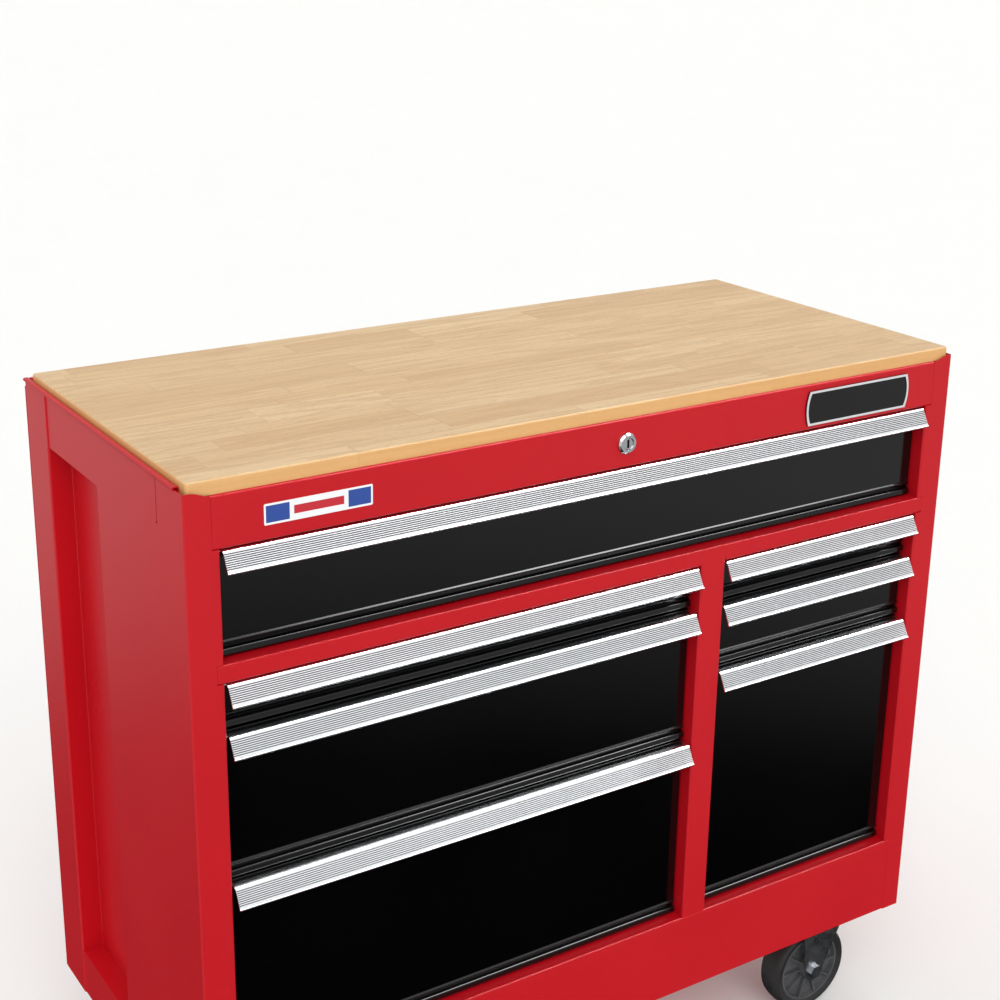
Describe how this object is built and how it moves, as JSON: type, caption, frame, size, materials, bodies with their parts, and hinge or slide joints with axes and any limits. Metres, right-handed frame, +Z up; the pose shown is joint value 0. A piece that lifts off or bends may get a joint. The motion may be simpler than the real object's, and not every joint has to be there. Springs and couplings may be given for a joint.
{
  "type": "workbench with drawers",
  "caption": "Rolling workbench cabinet with a solid-wood top, a full-width drawer over two columns of drawers with ribbed pulls, a key lock and casters.",
  "frame": {"origin": "on the floor, under the centre of the whole object's box with the drawers shut", "axes": "+Z up; +X to the right along the front; the drawers open towards -Y"},
  "size_m": [1.029, 0.467, 0.952],
  "materials": {
    "red_enamel": "gloss powder-coated sheet steel",
    "black_enamel": "gloss powder-coated sheet steel",
    "aluminium": "ribbed extruded, clear anodised",
    "wood": "finger-jointed staves, satin lacquer",
    "zinc_steel": "bright zinc plate",
    "chrome": "polished plate",
    "badge": "gloss black with a bright raised border",
    "wheel": "hard moulded rubber",
    "brake_lever": "textured moulding"
  },
  "bodies": {
    "cabinet": {"side_panel_left": "red_enamel", "side_panel_right": "red_enamel", "corner_post_left": "red_enamel", "corner_post_right": "red_enamel", "back_panel": "red_enamel", "bottom_pan": "red_enamel", "top_rail": "red_enamel", "mid_rail": "red_enamel", "centre_post": "red_enamel", "slide_posts": "black_enamel", "slide_outer_members": "zinc_steel", "top_deck": "black_enamel", "wood_top": "wood", "wood_screws": "zinc_steel", "nameplate": "badge", "lock_housing": "chrome", "swivel_plates": "zinc_steel", "rigid_caster_frames": "zinc_steel", "rigid_axles": "zinc_steel", "caster_bolts": "zinc_steel"},
    "drawer_top": {"drawer_top_tray": "black_enamel", "drawer_top_pull": "aluminium", "drawer_top_slide_inner": "zinc_steel"},
    "drawer_top_runner": {"drawer_top_slide_middle": "zinc_steel"},
    "drawer_left_1": {"drawer_left_1_tray": "black_enamel", "drawer_left_1_pull": "aluminium", "drawer_left_1_slide_inner": "zinc_steel"},
    "drawer_left_1_runner": {"drawer_left_1_slide_middle": "zinc_steel"},
    "drawer_left_2": {"drawer_left_2_tray": "black_enamel", "drawer_left_2_pull": "aluminium", "drawer_left_2_slide_inner": "zinc_steel"},
    "drawer_left_2_runner": {"drawer_left_2_slide_middle": "zinc_steel"},
    "drawer_left_3": {"drawer_left_3_tray": "black_enamel", "drawer_left_3_pull": "aluminium", "drawer_left_3_slide_inner": "zinc_steel"},
    "drawer_left_3_runner": {"drawer_left_3_slide_middle": "zinc_steel"},
    "drawer_right_1": {"drawer_right_1_tray": "black_enamel", "drawer_right_1_pull": "aluminium", "drawer_right_1_slide_inner": "zinc_steel"},
    "drawer_right_1_runner": {"drawer_right_1_slide_middle": "zinc_steel"},
    "drawer_right_2": {"drawer_right_2_tray": "black_enamel", "drawer_right_2_pull": "aluminium", "drawer_right_2_slide_inner": "zinc_steel"},
    "drawer_right_2_runner": {"drawer_right_2_slide_middle": "zinc_steel"},
    "drawer_right_3": {"drawer_right_3_tray": "black_enamel", "drawer_right_3_pull": "aluminium", "drawer_right_3_slide_inner": "zinc_steel"},
    "drawer_right_3_runner": {"drawer_right_3_slide_middle": "zinc_steel"},
    "key_plug": {"lock_plug": "chrome"},
    "lock_bolt": {"lock_bar": "zinc_steel"},
    "swivel_front": {"swivel_fork_front": "zinc_steel", "swivel_axle_front": "zinc_steel"},
    "wheel_right_front": {"wheel_right_front": "wheel"},
    "wheel_left_front": {"wheel_left_front": "wheel"},
    "brake_front": {"brake_pedal_front": "brake_lever"},
    "swivel_rear": {"swivel_fork_rear": "zinc_steel", "swivel_axle_rear": "zinc_steel"},
    "wheel_right_rear": {"wheel_right_rear": "wheel"},
    "wheel_left_rear": {"wheel_left_rear": "wheel"},
    "brake_rear": {"brake_pedal_rear": "brake_lever"}
  },
  "joints": [
    {"name": "drawer_top_slide", "type": "slide", "parent": "cabinet", "child": "drawer_top", "axis": [0, -1, 0], "range_m": [0, 0.38]},
    {"name": "drawer_top_runner_slide", "type": "slide", "parent": "cabinet", "child": "drawer_top_runner", "axis": [0, -1, 0], "range_m": [0, 0.19]},
    {"name": "drawer_left_1_slide", "type": "slide", "parent": "cabinet", "child": "drawer_left_1", "axis": [0, -1, 0], "range_m": [0, 0.38]},
    {"name": "drawer_left_1_runner_slide", "type": "slide", "parent": "cabinet", "child": "drawer_left_1_runner", "axis": [0, -1, 0], "range_m": [0, 0.19]},
    {"name": "drawer_left_2_slide", "type": "slide", "parent": "cabinet", "child": "drawer_left_2", "axis": [0, -1, 0], "range_m": [0, 0.38]},
    {"name": "drawer_left_2_runner_slide", "type": "slide", "parent": "cabinet", "child": "drawer_left_2_runner", "axis": [0, -1, 0], "range_m": [0, 0.19]},
    {"name": "drawer_left_3_slide", "type": "slide", "parent": "cabinet", "child": "drawer_left_3", "axis": [0, -1, 0], "range_m": [0, 0.38]},
    {"name": "drawer_left_3_runner_slide", "type": "slide", "parent": "cabinet", "child": "drawer_left_3_runner", "axis": [0, -1, 0], "range_m": [0, 0.19]},
    {"name": "drawer_right_1_slide", "type": "slide", "parent": "cabinet", "child": "drawer_right_1", "axis": [0, -1, 0], "range_m": [0, 0.38]},
    {"name": "drawer_right_1_runner_slide", "type": "slide", "parent": "cabinet", "child": "drawer_right_1_runner", "axis": [0, -1, 0], "range_m": [0, 0.19]},
    {"name": "drawer_right_2_slide", "type": "slide", "parent": "cabinet", "child": "drawer_right_2", "axis": [0, -1, 0], "range_m": [0, 0.38]},
    {"name": "drawer_right_2_runner_slide", "type": "slide", "parent": "cabinet", "child": "drawer_right_2_runner", "axis": [0, -1, 0], "range_m": [0, 0.19]},
    {"name": "drawer_right_3_slide", "type": "slide", "parent": "cabinet", "child": "drawer_right_3", "axis": [0, -1, 0], "range_m": [0, 0.38]},
    {"name": "drawer_right_3_runner_slide", "type": "slide", "parent": "cabinet", "child": "drawer_right_3_runner", "axis": [0, -1, 0], "range_m": [0, 0.19]},
    {"name": "lock_turn", "type": "hinge", "parent": "cabinet", "child": "key_plug", "pos_m": [0.009, -0.2235, 0.9084], "axis": [0, 1, 0], "range_deg": [0, 90]},
    {"name": "lock_bolt_slide", "type": "slide", "parent": "cabinet", "child": "lock_bolt", "axis": [0, 0, -1], "range_m": [0, 0.012]},
    {"name": "swivel_front_turn", "type": "hinge", "parent": "cabinet", "child": "swivel_front", "pos_m": [0.4395, -0.1585, 0.149], "axis": [0, 0, 1], "continuous": true},
    {"name": "wheel_right_front_spin", "type": "hinge", "parent": "swivel_front", "child": "wheel_right_front", "pos_m": [0.4045, -0.1585, 0.0635], "axis": [0, 1, 0], "continuous": true},
    {"name": "wheel_left_front_spin", "type": "hinge", "parent": "cabinet", "child": "wheel_left_front", "pos_m": [-0.4395, -0.1585, 0.0635], "axis": [0, 1, 0], "continuous": true},
    {"name": "brake_front_press", "type": "hinge", "parent": "swivel_front", "child": "brake_front", "pos_m": [0.3875, -0.1585, 0.137], "axis": [0, -1, 0], "range_deg": [0, 14]},
    {"name": "swivel_rear_turn", "type": "hinge", "parent": "cabinet", "child": "swivel_rear", "pos_m": [0.4395, 0.1685, 0.149], "axis": [0, 0, 1], "continuous": true},
    {"name": "wheel_right_rear_spin", "type": "hinge", "parent": "swivel_rear", "child": "wheel_right_rear", "pos_m": [0.4045, 0.1685, 0.0635], "axis": [0, 1, 0], "continuous": true},
    {"name": "wheel_left_rear_spin", "type": "hinge", "parent": "cabinet", "child": "wheel_left_rear", "pos_m": [-0.4395, 0.1685, 0.0635], "axis": [0, 1, 0], "continuous": true},
    {"name": "brake_rear_press", "type": "hinge", "parent": "swivel_rear", "child": "brake_rear", "pos_m": [0.3875, 0.1685, 0.137], "axis": [0, -1, 0], "range_deg": [0, 14]}
  ],
  "couplings": [
    {"joint": "drawer_top_runner_slide", "follows": "drawer_top_slide", "ratio": 0.5},
    {"joint": "drawer_left_1_runner_slide", "follows": "drawer_left_1_slide", "ratio": 0.5},
    {"joint": "drawer_left_2_runner_slide", "follows": "drawer_left_2_slide", "ratio": 0.5},
    {"joint": "drawer_left_3_runner_slide", "follows": "drawer_left_3_slide", "ratio": 0.5},
    {"joint": "drawer_right_1_runner_slide", "follows": "drawer_right_1_slide", "ratio": 0.5},
    {"joint": "drawer_right_2_runner_slide", "follows": "drawer_right_2_slide", "ratio": 0.5},
    {"joint": "drawer_right_3_runner_slide", "follows": "drawer_right_3_slide", "ratio": 0.5},
    {"joint": "lock_bolt_slide", "follows": "lock_turn", "m_per_rad": 0.007638}
  ]
}
